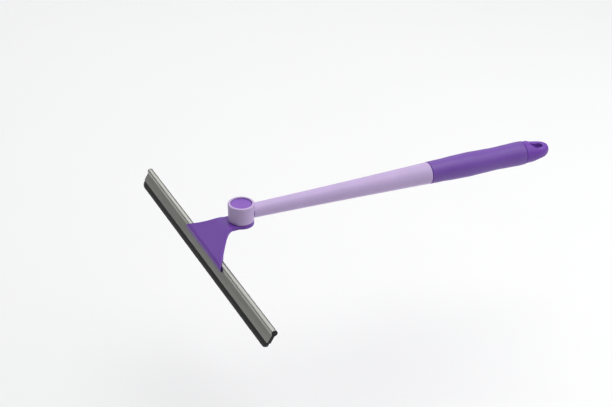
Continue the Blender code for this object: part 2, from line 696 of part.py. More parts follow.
def push_button(parent):
    """Round button with a shallow dish and a skirt that reaches the brake ring."""
    profile = [(0, BUTTON_TOP - BUTTON_DISH), (0.0045, BUTTON_TOP - 0.8 * BUTTON_DISH),
               (0.0080, BUTTON_TOP - 0.25 * BUTTON_DISH), (0.0091, BUTTON_TOP),
               (BUTTON_RADIUS - 0.0001, BUTTON_TOP - 0.0002), (BUTTON_RADIUS, BUTTON_TOP - 0.0006),
               (BUTTON_RADIUS, PAD_TOP - 0.0006), (SKIRT_INSIDE, PAD_TOP - 0.0006),
               (SKIRT_INSIDE, BUTTON_UNDER), (0, BUTTON_UNDER)]
    base = Vector((0, 0, BUTTON_UNDER))
    shape = turned([(r, z - base.z) for r, z in profile], 40)
    return new_object("push_button", shape, "purple_plastic", parent, base - parent.location)


def brake_ring(parent):
    """Ring that the button pushes off the crown; three pegs of the hub pass through it."""
    profile = [(RING_OUTSIDE, RING_TOP), (RING_OUTSIDE, RING_BOTTOM), (RING_INSIDE, RING_BOTTOM),
               (RING_INSIDE, RING_TOP)]
    return pegged_ring("brake_ring", profile, "black_plastic", parent)


def brake_pad(parent):
    """Friction washer on the brake ring, under the crown."""
    low = RING_TOP + GAP
    inside = RING_INSIDE + GAP
    profile = [(PAD_OUTSIDE, PAD_TOP), (PAD_OUTSIDE, low), (inside, low), (inside, PAD_TOP)]
    return pegged_ring("brake_pad", profile, "black_rubber", parent)


def pegged_ring(name, profile, finish, parent):
    """A turned ring, placed on its parent's axis, with holes for the three pegs."""
    base = Vector((0, 0, profile[1][1]))
    shape = turned([(radius, height - base.z) for radius, height in profile], 36)
    obj = new_object(name, shape, finish, parent, base - parent.location)
    for step in range(3):
        hole = peg(step, PEG_RADIUS + GAP, profile[1][1] - SKIN, profile[0][1] + SKIN)
        combine(obj, "DIFFERENCE", hole, "peg_hole")
    return obj


def button_spring(parent):
    """Coil spring between the hub's floor and the brake ring."""
    low = FLOOR_TOP + GAP + SPRING_WIRE
    high = RING_BOTTOM - GAP - SPRING_WIRE
    per_turn, sides = 18, 6
    steps = SPRING_TURNS * per_turn
    sections = []
    for step in range(steps + 1):
        angle = 2 * pi * step / per_turn
        height = low + (high - low) * step / steps
        outward = Vector((cos(angle), sin(angle), 0))
        ring = []
        for side in range(sides):
            turn = 2 * pi * side / sides
            radius = SPRING_RADIUS + SPRING_WIRE * cos(turn)
            ring.append(outward * radius + Vector((0, 0, height + SPRING_WIRE * sin(turn))))
        sections.append(ring)
    shape = lofted(sections)
    bmesh.ops.translate(shape, verts=shape.verts, vec=-parent.location)
    return new_object("button_spring", shape, "spring_steel", parent)


def build():
    """Model every piece under the axis that it moves on."""
    clear_scene()
    handle_arm()
    grip_sleeve()
    end_cap()
    head_axis = empty("head_axis")
    head_bracket(head_axis)
    clamp_plate(head_axis)
    clamp_screw("clamp_screw_left", 1, head_axis)
    clamp_screw("clamp_screw_right", -1, head_axis)
    squeegee_channel(head_axis)
    rubber_blade(head_axis)
    end_plug("end_plug_left", 1, head_axis)
    end_plug("end_plug_right", -1, head_axis)
    channel_pin(head_axis)
    wear_washer(head_axis)
    floor_washer(head_axis)
    pivot_crown(head_axis)
    pivot_screw(head_axis)
    button_axis = empty("button_axis", (0, 0, FLOOR_TOP))
    push_button(button_axis)
    brake_ring(button_axis)
    brake_pad(button_axis)
    button_spring(button_axis)


if __name__ == "__main__":
    build()
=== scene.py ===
"""Finished look of the swivel-head window squeegee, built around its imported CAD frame."""
import json
from math import asin, cos, pi, radians, sin

import bpy
from mathutils import Matrix, Vector

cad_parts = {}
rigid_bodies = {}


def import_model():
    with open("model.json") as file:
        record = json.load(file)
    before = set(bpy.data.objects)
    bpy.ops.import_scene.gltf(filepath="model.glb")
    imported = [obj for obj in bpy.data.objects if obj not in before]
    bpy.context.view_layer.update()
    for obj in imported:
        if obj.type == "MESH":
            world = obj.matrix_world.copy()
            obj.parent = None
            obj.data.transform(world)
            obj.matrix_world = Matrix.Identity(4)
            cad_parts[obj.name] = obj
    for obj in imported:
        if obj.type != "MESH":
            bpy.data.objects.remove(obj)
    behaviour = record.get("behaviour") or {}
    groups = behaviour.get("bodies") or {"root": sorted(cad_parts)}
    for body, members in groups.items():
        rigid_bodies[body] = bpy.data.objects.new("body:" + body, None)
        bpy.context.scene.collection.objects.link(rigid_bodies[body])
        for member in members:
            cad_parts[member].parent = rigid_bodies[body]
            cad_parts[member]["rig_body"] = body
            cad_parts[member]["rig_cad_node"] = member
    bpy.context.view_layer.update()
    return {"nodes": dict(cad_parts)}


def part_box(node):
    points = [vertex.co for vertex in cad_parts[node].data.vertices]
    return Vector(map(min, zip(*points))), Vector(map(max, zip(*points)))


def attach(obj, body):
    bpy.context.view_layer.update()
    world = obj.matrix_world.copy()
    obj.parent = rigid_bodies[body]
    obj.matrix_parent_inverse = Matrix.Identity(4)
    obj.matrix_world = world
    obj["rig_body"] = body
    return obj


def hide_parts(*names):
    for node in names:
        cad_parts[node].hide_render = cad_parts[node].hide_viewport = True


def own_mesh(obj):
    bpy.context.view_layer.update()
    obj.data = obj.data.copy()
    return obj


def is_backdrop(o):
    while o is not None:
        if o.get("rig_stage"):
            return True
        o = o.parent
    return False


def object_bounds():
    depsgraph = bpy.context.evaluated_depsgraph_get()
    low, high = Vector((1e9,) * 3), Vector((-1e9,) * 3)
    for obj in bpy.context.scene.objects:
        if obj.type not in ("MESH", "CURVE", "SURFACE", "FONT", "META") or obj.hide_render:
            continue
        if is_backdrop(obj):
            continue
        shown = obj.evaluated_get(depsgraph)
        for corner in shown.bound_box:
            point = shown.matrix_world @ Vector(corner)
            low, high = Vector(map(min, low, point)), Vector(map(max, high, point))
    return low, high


bl_info = {
    "name": "Window Squeegee",
    "version": (1, 0, 0),
    "blender": (4, 5, 0),
    "location": "3D View > Sidebar > Squeegee",
    "description": "Builds the detailed pieces and finishes of a swivel-head window squeegee",
    "category": "Object",
}

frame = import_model()

MM = 0.001
GAP = 0.3 * MM                 # clearance that the CAD pieces keep between them
SPARE = 1.0 * MM               # how far a cutter reaches past the surface that it opens
MERGE = 0.002 * MM             # vertices closer than this are one
FLAT = radians(1.0)            # faces that meet at less than this are one

HANDLE_LOW, HANDLE_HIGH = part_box("handle_arm")
SLEEVE_LOW, SLEEVE_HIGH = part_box("grip_sleeve")
CAP_LOW, CAP_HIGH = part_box("end_cap")
BUTTON_LOW, BUTTON_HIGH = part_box("push_button")
CHANNEL_LOW, CHANNEL_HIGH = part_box("squeegee_channel")
ARM_AXIS_Z = (SLEEVE_LOW.z + SLEEVE_HIGH.z) / 2
HUB_RADIUS = -HANDLE_LOW.x
HUB_TOP = HANDLE_HIGH.z

# Channel section: its origin is the lower edge of the front sheet
LIP_FORWARD = 39.8 * MM
LIP_HEIGHT = -25.5 * MM
FACE_TILT = radians(60.75)
CHANNEL_DEPTH = 2.6 * MM
SHEET = 0.6 * MM
BEAD_UP = 11.0 * MM
BEAD_RADIUS = 2.75 * MM
MIDDLE = -CHANNEL_DEPTH / 2
END_TRIM = 0.7 * MM            # the end plugs' flanges take this much of the channel's length


def section_point(down, out, along=0.0):
    """A point of the channel's section (down the face, out of the face) in the frame."""
    forward = LIP_FORWARD + down * cos(FACE_TILT) + out * sin(FACE_TILT)
    height = LIP_HEIGHT - down * sin(FACE_TILT) + out * cos(FACE_TILT)
    return Vector((-forward, along, height))


def arc(centre, radius, start, end, steps):
    """Points of an arc, both ends included; the angles are in radians."""
    angles = [start + (end - start) * step / steps for step in range(steps + 1)]
    return [(centre[0] + radius * cos(a), centre[1] + radius * sin(a)) for a in angles]


def curve_through(start, pull, end, steps):
    """Points of a curve that leaves and arrives along the lines through the pull point."""
    points = []
    for step in range(steps + 1):
        t = step / steps
        points.append(tuple((1 - t) ** 2 * a + 2 * t * (1 - t) * b + t * t * c
                            for a, b, c in zip(start, pull, end)))
    return points


# ---------------------------------------------------------------- modelling by hand

def deselect():
    """Leave edit mode and select nothing."""
    if bpy.context.object and bpy.context.object.mode != "OBJECT":
        bpy.ops.object.mode_set(mode="OBJECT")
    bpy.ops.object.select_all(action="DESELECT")


def focus(obj):
    """Make one object the only selected and the active one."""
    deselect()
    obj.select_set(True)
    bpy.context.view_layer.objects.active = obj


def edit(obj):
    """Open an object in edit mode, with everything selected."""
    focus(obj)
    bpy.ops.object.mode_set(mode="EDIT")
    bpy.ops.mesh.select_mode(type="VERT")
    bpy.ops.mesh.select_all(action="SELECT")


def leave():
    """Go back to object mode."""
    bpy.ops.object.mode_set(mode="OBJECT")


def name_it(name):
    """Name the object that an operator has just added."""
    obj = bpy.context.object
    obj.name = name
    obj.data.name = name
    return obj


def trace(name, points):
    """Draw joined points one after the other, extruding a single vertex."""
    points = [Vector(point) for point in points]
    deselect()
    bpy.ops.mesh.primitive_plane_add(size=MM, location=points[0])
    obj = name_it(name)
    bpy.ops.object.transform_apply(location=True, rotation=True, scale=True)
    edit(obj)
    bpy.ops.mesh.merge(type="CENTER")
    for start, end in zip(points, points[1:]):
        bpy.ops.mesh.extrude_region_move(TRANSFORM_OT_translate={"value": end - start})
    bpy.ops.mesh.select_all(action="SELECT")
    return obj


def extrude(travel):
    """Extrude what is selected."""
    bpy.ops.mesh.extrude_region_move(TRANSFORM_OT_translate={"value": Vector(travel)})


def tidy_normals():
    """Merge doubles and turn every face outwards."""
    bpy.ops.mesh.select_all(action="SELECT")
    bpy.ops.mesh.remove_doubles(threshold=MERGE)
    bpy.ops.mesh.normals_make_consistent(inside=False)


def prism(name, points, travel):
    """Fill a traced outline and extrude it."""
    obj = trace(name, points)
    bpy.ops.mesh.edge_face_add()
    extrude(travel)
    tidy_normals()
    leave()
    return obj


def turned(name, profile, steps, centre=(0, 0, 0)):
    """Spin a traced (radius, height) profile about Z. A profile that leaves the axis returns."""
    shift = Vector(centre)
    obj = trace(name, [Vector((r, 0, z)) + shift for r, z in profile])
    bpy.ops.mesh.spin(steps=steps, angle=2 * pi, center=centre, axis=(0, 0, 1),
                      use_auto_merge=True)
    tidy_normals()
    leave()
    return obj


def swept(name, stations, count, centre_z):
    """Grow a round section along X through stations of (x, half width, half height)."""
    x, wide, high = stations[0]
    deselect()
    bpy.ops.mesh.primitive_circle_add(vertices=count, radius=1.0, fill_type="NGON",
                                      location=(x, 0, centre_z), rotation=(0, pi / 2, 0))
    obj = name_it(name)
    bpy.ops.object.transform_apply(location=True, rotation=True, scale=True)
    edit(obj)
    middle = Vector((x, 0, centre_z))
    bpy.ops.transform.resize(value=(1, wide, high), center_override=middle)
    for (x0, wide0, high0), (x1, wide1, high1) in zip(stations, stations[1:]):
        extrude((x1 - x0, 0, 0))
        middle = Vector((x1, 0, centre_z))
        bpy.ops.transform.resize(value=(1, wide1 / wide0, high1 / high0),
                                 center_override=middle)
    tidy_normals()
    leave()
    return obj


def apply_modifier(obj, kind, **settings):
    """Add a modifier with these settings and apply it."""
    focus(obj)
    modifier = obj.modifiers.new(kind.lower(), kind)
    for key, value in settings.items():
        setattr(modifier, key, value)
    bpy.ops.object.modifier_apply(modifier=modifier.name)


def combine(obj, operation, other):
    """Boolean an object with another, which is used up."""
    apply_modifier(obj, "BOOLEAN", operation=operation, solver="EXACT", object=other)
    bpy.data.objects.remove(other, do_unlink=True)


def soften(obj, width, segments=3, angle=35):
    """Round the sharp edges of a finished piece and shade it smooth."""
    apply_modifier(obj, "BEVEL", width=width, segments=segments, limit_method="ANGLE",
                   angle_limit=radians(angle), harden_normals=False, miter_outer="MITER_ARC")
    smooth(obj, angle)


def smooth(obj, angle=35):
    """Shade smooth, but keep edges sharper than the angle."""
    focus(obj)
    bpy.ops.object.shade_smooth_by_angle(angle=radians(angle))


def copy_of_node(node, name):
    """A merged copy of a CAD node, to finish as a new piece."""
    source = frame["nodes"][node]
    obj = source.copy()
    obj.data = source.data.copy()
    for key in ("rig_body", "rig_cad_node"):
        del obj[key]
    obj.parent = None
    bpy.context.scene.collection.objects.link(obj)
    obj.name = name
    obj.data.name = name
    edit(obj)
    bpy.ops.mesh.remove_doubles(threshold=MERGE)
    bpy.ops.mesh.dissolve_limited(angle_limit=FLAT)
    leave()
    return obj


def finish_piece(obj, material, body, slot, *nodes):
    """Give a piece its material and its place in the frame."""
    obj.data.materials.clear()
    obj.data.materials.append(material)
    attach(obj, body)
    if nodes:
        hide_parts(*nodes)
    return obj


# ---------------------------------------------------------------- shader arithmetic

# Places of the colour sockets on a Mix node, which names all its sockets alike
MIX_FACTOR, MIX_FIRST, MIX_SECOND, MIX_RESULT = 0, 6, 7, 2
PLASTIC_SPECULAR = 0.3


class Wire:
    """A shader socket on which Python arithmetic adds Math nodes."""

    def __init__(self, finish, socket):
        self.finish = finish
        self.socket = socket

    def math(self, operation, *others, clamp=False):
        """Join this socket and others in a Math node."""
        return self.finish.add("ShaderNodeMath", {"operation": operation, "use_clamp": clamp},
                               dict(enumerate((self, *others))))

    def __add__(self, other):
        return self.math("ADD", other)

    def __sub__(self, other):
        return self.math("SUBTRACT", other)

    def __mul__(self, other):
        return self.math("MULTIPLY", other)

    __radd__ = __add__
    __rmul__ = __mul__

    def __rsub__(self, other):
        return self.math("MULTIPLY", -1.0).math("ADD", other)

    def above(self, edge, softness):
        """0 below the edge, rising to 1 over the softness."""
        return self.math("SUBTRACT", edge).math("DIVIDE", softness, clamp=True)


class Finish:
    """A Principled material under construction."""

    def __init__(self, name, roughness, metallic=0.0, **constants):
        self.material = bpy.data.materials.new(name)
        self.material.use_nodes = True
        self.tree = self.material.node_tree
        self.shader = self.tree.nodes["Principled BSDF"]
        self.shader.inputs["Roughness"].default_value = roughness
        self.shader.inputs["Metallic"].default_value = metallic
        for key, value in constants.items():
            socket = key.replace("_", " ").title().replace("Ior", "IOR")
            self.shader.inputs[socket].default_value = value

    def add(self, kind, settings=None, inputs=None, output=0):
        """Add a node of a type, with settings first and then values or links of its sockets."""
        node = self.tree.nodes.new(kind)
        for key, value in (settings or {}).items():
            setattr(node, key, value)
        for key, value in (inputs or {}).items():
            if isinstance(value, Wire):
                self.tree.links.new(value.socket, node.inputs[key])
            else:
                node.inputs[key].default_value = value
        return Wire(self, node.outputs[output])

    def place(self, stretch=(1, 1, 1)):
        """Object coordinates, stretched along the axes."""
        coordinates = self.add("ShaderNodeTexCoord", output="Object")
        return self.add("ShaderNodeMapping", inputs={"Vector": coordinates, "Scale": stretch})

    def noise(self, scale, detail=3.0, roughness=0.5, stretch=(1, 1, 1)):
        """Noise from 0 to 1 with a number of features per metre."""
        return self.add("ShaderNodeTexNoise", {"noise_dimensions": "3D"},
                        {"Vector": self.place(stretch), "Scale": scale, "Detail": detail,
                         "Roughness": roughness})

    def mix(self, factor, first, second):
        """Mix two colours."""
        return self.add("ShaderNodeMix", {"data_type": "RGBA"},
                        {MIX_FACTOR: factor, MIX_FIRST: first, MIX_SECOND: second},
                        output=MIX_RESULT)

    def set(self, socket, wire):
        """Feed a socket of the shader."""
        self.tree.links.new(wire.socket, self.shader.inputs[socket])

    def bump(self, height, strength, distance):
        """Feed the normal from a height."""
        normal = self.add("ShaderNodeBump", inputs={"Height": height, "Strength": strength,
                                                    "Distance": distance})
        self.set("Normal", normal)


def shade(colour, factor):
    """A colour made lighter or darker, with alpha."""
    return (*(min(1.0, channel * factor) for channel in colour[:3]), 1.0)


def moulded_plastic(name, colour, roughness, grain=1.0):
    """Moulded plastic: faint mottling, a fine eroded grain and a few rubbed patches."""
    finish = Finish(name, roughness, specular_ior_level=PLASTIC_SPECULAR)
    mottle = finish.noise(55, 4, 0.55)
    rubbed = finish.noise(190, 5, 0.6).above(0.60, 0.12)
    grain_height = finish.noise(2600, 2, 0.5)
    scratches = finish.noise(420, 6, 0.65, stretch=(0.25, 1.6, 1.6)).above(0.63, 0.05)
    base = finish.mix(mottle, shade(colour, 0.93), shade(colour, 1.06))
    base = finish.mix(rubbed * 0.25, base, shade(colour, 1.22))
    finish.set("Base Color", base)
    finish.set("Roughness", mottle * 0.10 + (roughness - 0.05) + rubbed * 0.06
               - scratches * 0.05)
    finish.bump(grain_height * 0.7 + mottle * 0.3 - scratches * 0.5, 0.20 * grain, 0.05 * MM)
    return finish.material


def soft_grip(name, colour):
    """Soft-touch elastomer: dull, finely pebbled, a little paler where hands rub it."""
    finish = Finish(name, 0.5, sheen_weight=0.12, sheen_roughness=0.4)
    pebbles = finish.add("ShaderNodeTexVoronoi", {"feature": "F1"},
                         {"Vector": finish.place(), "Scale": 2100.0})
    mottle = finish.noise(45, 4, 0.55)
    worn = finish.noise(90, 5, 0.6).above(0.55, 0.2)
    base = finish.mix(mottle, shade(colour, 0.92), shade(colour, 1.08))
    base = finish.mix(worn * 0.22, base, shade(colour, 1.35))
    finish.set("Base Color", base)
    finish.set("Roughness", mottle * 0.12 + 0.42 - worn * 0.05)
    finish.bump(pebbles * 0.8 + mottle * 0.2, 0.18, 0.04 * MM)
    return finish.material


def brushed_sheet(name, colour):
    """Folded stainless sheet: fine brushing along the blade, faint smears and spots."""
    finish = Finish(name, 0.34, metallic=1.0)
    lines = finish.noise(5200, 3, 0.6, stretch=(1.0, 0.006, 1.0))
    broad = finish.noise(900, 3, 0.6, stretch=(1.0, 0.02, 1.0))
    smears = finish.noise(60, 5, 0.6, stretch=(1.0, 0.5, 1.0))
    spots = finish.noise(700, 2, 0.4).above(0.70, 0.05)
    base = finish.mix(smears, shade(colour, 0.86), shade(colour, 1.08))
    base = finish.mix(lines * 0.35, base, shade(colour, 0.72))
    base = finish.mix(spots * 0.3, base, shade(colour, 0.6))
    finish.set("Base Color", base)
    finish.set("Roughness", broad * 0.16 + smears * 0.14 + 0.22 + spots * 0.1)
    finish.bump(lines * 0.6 + broad * 0.4, 0.10, 0.02 * MM)
    return finish.material


def black_rubber(name, colour):
    """Matt rubber with a fine grain and pale dusty wear."""
    finish = Finish(name, 0.6)
    grain = finish.noise(3000, 3, 0.6)
    streaks = finish.noise(260, 5, 0.6, stretch=(1.0, 0.08, 1.0))
    dust = finish.noise(120, 5, 0.65).above(0.52, 0.2)
    base = finish.mix(streaks, shade(colour, 0.75), shade(colour, 1.35))
    base = finish.mix(dust * 0.35, base, shade(colour, 2.4))
    finish.set("Base Color", base)
    finish.set("Roughness", streaks * 0.18 + 0.48 + dust * 0.08)
    finish.bump(grain * 0.6 + streaks * 0.4, 0.25, 0.05 * MM)
    return finish.material


def turned_steel(name, colour, roughness):
    """Plated steel with faint tool marks and dull spots."""
    finish = Finish(name, roughness, metallic=1.0)
    marks = finish.noise(2600, 2, 0.5, stretch=(1.0, 1.0, 0.15))
    dull = finish.noise(420, 4, 0.6)
    finish.set("Base Color", finish.mix(dull, shade(colour, 0.78), shade(colour, 1.10)))
    finish.set("Roughness", dull * 0.22 + (roughness - 0.08) + marks * 0.06)
    finish.bump(marks, 0.10, 0.02 * MM)
    return finish.material


# ---------------------------------------------------------------- settings

def colour_property(name, description, default):
    """A colour swatch."""
    return bpy.props.FloatVectorProperty(name=name, description=description, default=default,
                                         subtype="COLOR", size=3, min=0.0, max=1.0)


def length_property(name, description, default):
    """A length in metres."""
    return bpy.props.FloatProperty(name=name, description=description, default=default,
                                   unit="LENGTH", min=0.0, precision=5)


class SqueegeeColours(bpy.types.PropertyGroup):
    """Colours of the squeegee's finishes."""

    lilac: colour_property("Lilac", "Handle arm and hub", (0.55, 0.42, 0.69))
    purple: colour_property("Purple", "Bracket, clamp plate and end cap", (0.175, 0.058, 0.41))
    button: colour_property("Button", "Push button", (0.215, 0.072, 0.46))
    grip: colour_property("Grip", "Soft sleeve", (0.165, 0.064, 0.38))
    metal: colour_property("Channel", "Folded sheet", (0.47, 0.47, 0.435))
    rubber: colour_property("Rubber", "Wiping blade", (0.012, 0.012, 0.012))
    plugs: colour_property("Plugs", "End plugs, crown and brake ring", (0.010, 0.010, 0.010))
    steel: colour_property("Steel", "Screws, pin and spring", (0.60, 0.60, 0.60))
    nylon: colour_property("Nylon", "Washers", (0.75, 0.75, 0.70))
    floor: colour_property("Floor", "Studio floor", (0.95, 0.95, 0.95))


class SqueegeeSizes(bpy.types.PropertyGroup):
    """Sizes of the details that the frame leaves open."""

    hub_edge: length_property("Hub Edge", "Rounding of the hub's outer top edge", 1.1 * MM)
    bracket_edge: length_property("Bracket Edge", "Rounding of the bracket", 0.5 * MM)
    dish: length_property("Button Dish", "Depth of the finger dish", 0.4 * MM)
    crease: length_property("Crease", "Bend radius where face meets bead", 0.5 * MM)
    seam: length_property("Grip Seam", "Depth of the groove before the sleeve", 0.25 * MM)


def settings():
    """The colours and sizes in use."""
    scene = bpy.context.scene
    return scene.squeegee_colours, scene.squeegee_sizes


# ---------------------------------------------------------------- handle

TUBE_FACES = 72                # faces round the arm, the sleeve and the cap
HUB_FACES = 96                 # faces round the hub and the button
SHOULDER = 0.01 * MM           # distance between the two rings of a square shoulder

ARM_START = 10.8 * MM
ARM_RINGS = 40
ARM_RADIUS = 6.7 * MM          # extrapolated to the swivel axis
ARM_TAPER = 0.012
ARM_FLARE = 0.04               # extra growth for each square metre of distance
ARM_CUT_DROP = 3.0 * MM        # the arm's root is cleared below this depth under the hub's top
SEAM_START = 0.6 * MM          # distances before the sleeve where the groove begins,
SEAM_BREAK = 0.25 * MM         # where its edge is broken
SEAM_WALL = 0.05 * MM          # and where its wall is
SEAM_BREAK_DEPTH = 0.06 * MM
CORE_RADIUS = 8.1 * MM
CORE_TIP = 1.0 * MM            # length of the core's tapered end
CORE_TIP_DEPTH = 0.6 * MM

HUB_FOOT = 3.7 * MM
HUB_FOOT_RADIUS = 11.75 * MM
HUB_DRAFT = 0.03 * MM
HUB_BREAK = 0.25 * MM          # breaking of the hub's small edges
BUTTON_BORE = 10.0 * MM
FLOOR_TOP = 6.2 * MM
FLOOR_BOTTOM = 4.7 * MM
POST_HOLE = 3.9 * MM
WASHER_RECESS = 10.5 * MM

PEGS = 3
PEG_FACES = 16
PEG_CIRCLE = 7.4 * MM
PEG_RADIUS = 0.8 * MM
PEG_TOP = 12.0 * MM
PEG_CHAMFER = 0.2 * MM
PEG_ROOT = 0.5 * MM            # length inside the hub's floor


def ring(x, radius):
    """A round station of a sweep."""
    return (x, radius, radius)


def arm_radius(x):
    """Outer radius of the arm, growing away from the hub."""
    return ARM_RADIUS + ARM_TAPER * x + ARM_FLARE * x * x


def arm_stations(seam):
    """The arm from the hub to the core under the sleeve, with the seam groove."""
    end = SLEEVE_LOW.x - GAP
    length = end - SEAM_START - ARM_START
    places = [ARM_START + length * step / ARM_RINGS for step in range(ARM_RINGS + 1)]
    full = arm_radius(end)
    groove = [ring(end - SEAM_BREAK, full - SEAM_BREAK_DEPTH),
              ring(end - SEAM_WALL, full - seam),
              ring(end, full - 2 * seam)]
    core = [ring(end + SHOULDER, CORE_RADIUS),
            ring(SLEEVE_HIGH.x - CORE_TIP, CORE_RADIUS),
            ring(SLEEVE_HIGH.x - GAP, CORE_RADIUS - CORE_TIP_DEPTH)]
    return [ring(x, arm_radius(x)) for x in places] + groove + core


def hub_profile(edge):
    """Closed outline of the hub: outside, foot recess, floor and button bore."""
    foot = HUB_FOOT + HUB_BREAK
    return [(BUTTON_BORE + HUB_BREAK, HUB_TOP),
            *arc((HUB_RADIUS - edge, HUB_TOP - edge), edge, pi / 2, 0, steps=8),
            (HUB_FOOT_RADIUS + HUB_DRAFT, foot), (HUB_FOOT_RADIUS - HUB_BREAK, HUB_FOOT),
            (WASHER_RECESS + HUB_BREAK, HUB_FOOT), (WASHER_RECESS, foot),
            (WASHER_RECESS, FLOOR_BOTTOM), (POST_HOLE, FLOOR_BOTTOM), (POST_HOLE, FLOOR_TOP),
            (BUTTON_BORE, FLOOR_TOP), (BUTTON_BORE, HUB_TOP - HUB_BREAK),
            (BUTTON_BORE + HUB_BREAK, HUB_TOP)]


def build_handle(colours, sizes):
    """Arm and hub as one moulding."""
    body = swept("handle_body", arm_stations(sizes.seam), TUBE_FACES, ARM_AXIS_Z)
    wall = BUTTON_BORE + SPARE
    upper, lower = HUB_TOP - ARM_CUT_DROP, HUB_FOOT + SPARE
    solid_hub = turned("solid_hub", [(0, upper), (wall, upper), (wall, lower), (0, lower)],
                       HUB_FACES)
    combine(body, "DIFFERENCE", solid_hub)
    hub = turned("hub", hub_profile(sizes.hub_edge), HUB_FACES)
    combine(body, "UNION", hub)
    peg_profile = [(0, PEG_TOP), (PEG_RADIUS - PEG_CHAMFER, PEG_TOP),
                   (PEG_RADIUS, PEG_TOP - PEG_CHAMFER), (PEG_RADIUS, FLOOR_TOP - PEG_ROOT),
                   (0, FLOOR_TOP - PEG_ROOT)]
    for k in range(PEGS):
        angle = pi / PEGS + 2 * pi * k / PEGS
        centre = (PEG_CIRCLE * cos(angle), PEG_CIRCLE * sin(angle), 0)
        combine(body, "UNION", turned("peg", peg_profile, PEG_FACES, centre))
    smooth(body)
    plastic = moulded_plastic("lilac_plastic", colours.lilac, roughness=0.40)
    finish_piece(body, plastic, "handle", "lilac_plastic", "handle_arm")


# Radius of the sleeve in millimetres at shares of its length
SLEEVE_SWELL = ((0.0, 10.80), (0.12, 10.95), (0.28, 11.60), (0.42, 11.90), (0.56, 11.50),
                (0.70, 11.15), (0.84, 11.50), (0.95, 11.85), (1.0, 11.70))
SLEEVE_EDGE = 0.5 * MM
SLEEVE_RINGS = 72
EDGE_RINGS = 5


def sleeve_radius(t):
    """Smooth radius of the sleeve from its front (0) to its rear (1)."""
    for (t0, r0), (t1, r1) in zip(SLEEVE_SWELL, SLEEVE_SWELL[1:]):
        if t <= t1:
            share = (t - t0) / (t1 - t0)
            share = share * share * (3 - 2 * share)
            return (r0 + (r1 - r0) * share) * MM
    return SLEEVE_SWELL[-1][1] * MM


def build_grip(colours):
    """Soft sleeve with rounded ends over the core."""
    start, end = SLEEVE_LOW.x, SLEEVE_HIGH.x
    turns = [pi / 2 * step / EDGE_RINGS for step in range(EDGE_RINGS + 1)]
    stations = [ring(start + SLEEVE_EDGE - SLEEVE_EDGE * cos(turn),
                     sleeve_radius(0) - SLEEVE_EDGE + SLEEVE_EDGE * sin(turn)) for turn in turns]
    for step in range(1, SLEEVE_RINGS):
        t = step / SLEEVE_RINGS
        stations.append(ring(start + (end - start) * t, sleeve_radius(t)))
    stations += [ring(end - SLEEVE_EDGE + SLEEVE_EDGE * sin(turn),
                      sleeve_radius(1) - SLEEVE_EDGE + SLEEVE_EDGE * cos(turn)) for turn in turns]
    sleeve = swept("grip_soft", stations, TUBE_FACES, ARM_AXIS_Z)
    inner = CORE_RADIUS + GAP
    bore = swept("bore", [ring(start - SPARE, inner), ring(end + SPARE, inner)], TUBE_FACES,
                 ARM_AXIS_Z)
    combine(sleeve, "DIFFERENCE", bore)
    smooth(sleeve)
    finish_piece(sleeve, soft_grip("purple_grip", colours.grip), "handle", "purple_grip",
                 "grip_sleeve")


SPIGOT_RADIUS = 5.3 * MM
SPIGOT_CHAMFER = 0.6 * MM
TAIL_RADIUS = 11.6 * MM
# The tail's front edge: radius at distances behind the sleeve
TAIL_EDGE = ((SHOULDER, 11.1 * MM), (0.15 * MM, 11.4 * MM), (0.5 * MM, TAIL_RADIUS))
TAIL_RINGS = 40
TAIL_FULLNESS = 3.2            # the larger, the later the tail closes
TAIL_ROUNDING = 0.46           # power that rounds its tip
TAIL_LEFT = 0.001              # share left at the very tip, before the power
TAIL_SQUASH = 0.92             # height for its width
TIP_WIDTH = 0.6 * MM
TIP_HEIGHT = 0.5 * MM
# Distances behind the sleeve: two places before the flats, their bend and where they are level
FLATS = (3.0 * MM, 4.0 * MM, 11.0 * MM, 18.0 * MM)
FLATS_HALF_HEIGHT = 4.6 * MM
SLAB_HALF_WIDTH = 15.0 * MM
EYE_CENTRE_X = 316.5 * MM
EYE_HALF_LENGTH = 3.0 * MM
EYE_RADIUS = 4.2 * MM
EYE_CUT = 12.0 * MM
CAP_EDGE = 0.5 * MM


def tail_stations():
    """Rings of the cap from the spigot's tip to the end of the tail."""
    start, end = SLEEVE_HIGH.x + GAP, CAP_HIGH.x
    stations = [ring(CAP_LOW.x, SPIGOT_RADIUS - SPIGOT_CHAMFER),
                ring(CAP_LOW.x + SPIGOT_CHAMFER, SPIGOT_RADIUS), ring(start, SPIGOT_RADIUS)]
    stations += [ring(start + behind, radius) for behind, radius in TAIL_EDGE]
    full, _, _ = stations[-1]
    for step in range(1, TAIL_RINGS + 1):
        t = step / TAIL_RINGS
        radius = TAIL_RADIUS * max(TAIL_LEFT, 1 - t ** TAIL_FULLNESS) ** TAIL_ROUNDING
        stations.append((full + (end - full) * t, max(radius, TIP_WIDTH),
                         max(radius * TAIL_SQUASH, TIP_HEIGHT)))
    return stations


def tail_slab():
    """Block whose top and bottom are the tail's two flats."""
    start, end = SLEEVE_HIGH.x + GAP, CAP_HIGH.x
    high = CAP_HIGH.z - ARM_AXIS_Z + SPARE
    before, leave_at, bend, level = (start + behind for behind in FLATS)
    upper = [(CAP_LOW.x - SPARE, high), (before, high),
             *curve_through((leave_at, high), (bend, FLATS_HALF_HEIGHT),
                            (level, FLATS_HALF_HEIGHT), steps=10),
             (end + SPARE, FLATS_HALF_HEIGHT)]
    outline = [(x, -SLAB_HALF_WIDTH, ARM_AXIS_Z + z) for x, z in upper]
    outline += [(x, -SLAB_HALF_WIDTH, ARM_AXIS_Z - z) for x, z in upper[::-1]]
    return prism("slab", outline, (0, 2 * SLAB_HALF_WIDTH, 0))


